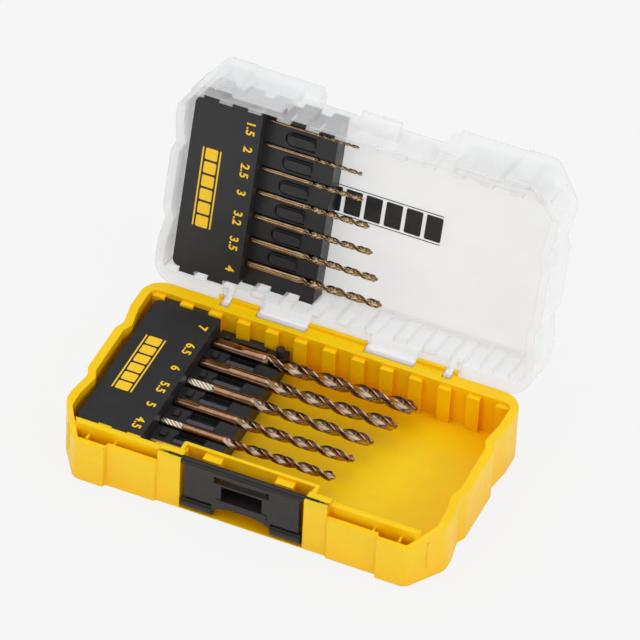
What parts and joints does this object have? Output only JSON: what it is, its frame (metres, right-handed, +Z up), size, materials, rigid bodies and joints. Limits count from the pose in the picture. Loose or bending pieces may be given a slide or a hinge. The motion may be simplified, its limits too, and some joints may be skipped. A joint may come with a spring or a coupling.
{
  "type": "drill bit case",
  "caption": "Flat rectangular drill bit case with a hinged clear lid, a fold-over front latch, and lift-out racks in tray and lid that hold twist drill bits.",
  "frame": {"origin": "middle of the tray's underside, half way between its front and back rows of ribs, on the plane it stands on", "axes": "+X to the right along the case, +Y from the latch to the hinge, +Z up"},
  "size_m": [0.201, 0.1779, 0.1433],
  "materials": {
    "tray_plastic": "satin yellow plastic",
    "clear_plastic": "clear polished plastic",
    "latch_plastic": "satin black plastic",
    "rack_plastic": "finely textured charcoal plastic",
    "pin_plastic": "pale drawn nylon rod",
    "bronze_steel": "ground steel with a bronze tint",
    "gold_steel": "ground steel with a golden tint"
  },
  "bodies": {
    "case": {"base_tray": "tray_plastic", "hinge_pin": "pin_plastic"},
    "lid": {"lid": "clear_plastic"},
    "latch": {"latch": "latch_plastic"},
    "base_rack": {"base_rack": "rack_plastic"},
    "lid_rack": {"lid_rack": "rack_plastic"},
    "drill_7_0": {"drill_7_0": "bronze_steel"},
    "drill_6_5": {"drill_6_5": "bronze_steel"},
    "drill_6_0": {"drill_6_0": "bronze_steel"},
    "drill_5_5": {"drill_5_5": "bronze_steel"},
    "drill_5_0": {"drill_5_0": "bronze_steel"},
    "drill_4_5": {"drill_4_5": "bronze_steel"},
    "drill_4_0": {"drill_4_0": "gold_steel"},
    "drill_3_5": {"drill_3_5": "gold_steel"},
    "drill_3_2": {"drill_3_2": "gold_steel"},
    "drill_3_0": {"drill_3_0": "gold_steel"},
    "drill_2_5": {"drill_2_5": "gold_steel"},
    "drill_2_0": {"drill_2_0": "gold_steel"},
    "drill_1_5": {"drill_1_5": "gold_steel"}
  },
  "joints": [
    {"name": "lid_hinge", "type": "hinge", "parent": "case", "child": "lid", "pos_m": [0, 0.057, 0.0292], "axis": [-1, 0, 0], "range_deg": [-104.5, 0]},
    {"name": "latch_pivot", "type": "hinge", "parent": "case", "child": "latch", "pos_m": [0, -0.0548, 0.0316], "axis": [-1, 0, 0], "range_deg": [0, 180]},
    {"name": "base_rack_lift", "type": "slide", "parent": "case", "child": "base_rack", "axis": [0, 0, 1], "range_m": [0, 0.025]},
    {"name": "lid_rack_lift", "type": "slide", "parent": "lid", "child": "lid_rack", "axis": [0, -0.9681, 0.2504], "range_m": [0, 0.012]},
    {"name": "drill_7_0_lift", "type": "slide", "parent": "base_rack", "child": "drill_7_0", "axis": [0, 0, 1], "range_m": [0, 0.014]},
    {"name": "drill_6_5_lift", "type": "slide", "parent": "base_rack", "child": "drill_6_5", "axis": [0, 0, 1], "range_m": [0, 0.014]},
    {"name": "drill_6_0_lift", "type": "slide", "parent": "base_rack", "child": "drill_6_0", "axis": [0, 0, 1], "range_m": [0, 0.014]},
    {"name": "drill_5_5_lift", "type": "slide", "parent": "base_rack", "child": "drill_5_5", "axis": [0, 0, 1], "range_m": [0, 0.014]},
    {"name": "drill_5_0_lift", "type": "slide", "parent": "base_rack", "child": "drill_5_0", "axis": [0, 0, 1], "range_m": [0, 0.014]},
    {"name": "drill_4_5_lift", "type": "slide", "parent": "base_rack", "child": "drill_4_5", "axis": [0, 0, 1], "range_m": [0, 0.014]},
    {"name": "drill_4_0_lift", "type": "slide", "parent": "lid_rack", "child": "drill_4_0", "axis": [0, -0.9681, 0.2504], "range_m": [0, 0.008]},
    {"name": "drill_3_5_lift", "type": "slide", "parent": "lid_rack", "child": "drill_3_5", "axis": [0, -0.9681, 0.2504], "range_m": [0, 0.008]},
    {"name": "drill_3_2_lift", "type": "slide", "parent": "lid_rack", "child": "drill_3_2", "axis": [0, -0.9681, 0.2504], "range_m": [0, 0.008]},
    {"name": "drill_3_0_lift", "type": "slide", "parent": "lid_rack", "child": "drill_3_0", "axis": [0, -0.9681, 0.2504], "range_m": [0, 0.008]},
    {"name": "drill_2_5_lift", "type": "slide", "parent": "lid_rack", "child": "drill_2_5", "axis": [0, -0.9681, 0.2504], "range_m": [0, 0.008]},
    {"name": "drill_2_0_lift", "type": "slide", "parent": "lid_rack", "child": "drill_2_0", "axis": [0, -0.9681, 0.2504], "range_m": [0, 0.008]},
    {"name": "drill_1_5_lift", "type": "slide", "parent": "lid_rack", "child": "drill_1_5", "axis": [0, -0.9681, 0.2504], "range_m": [0, 0.008]}
  ]
}
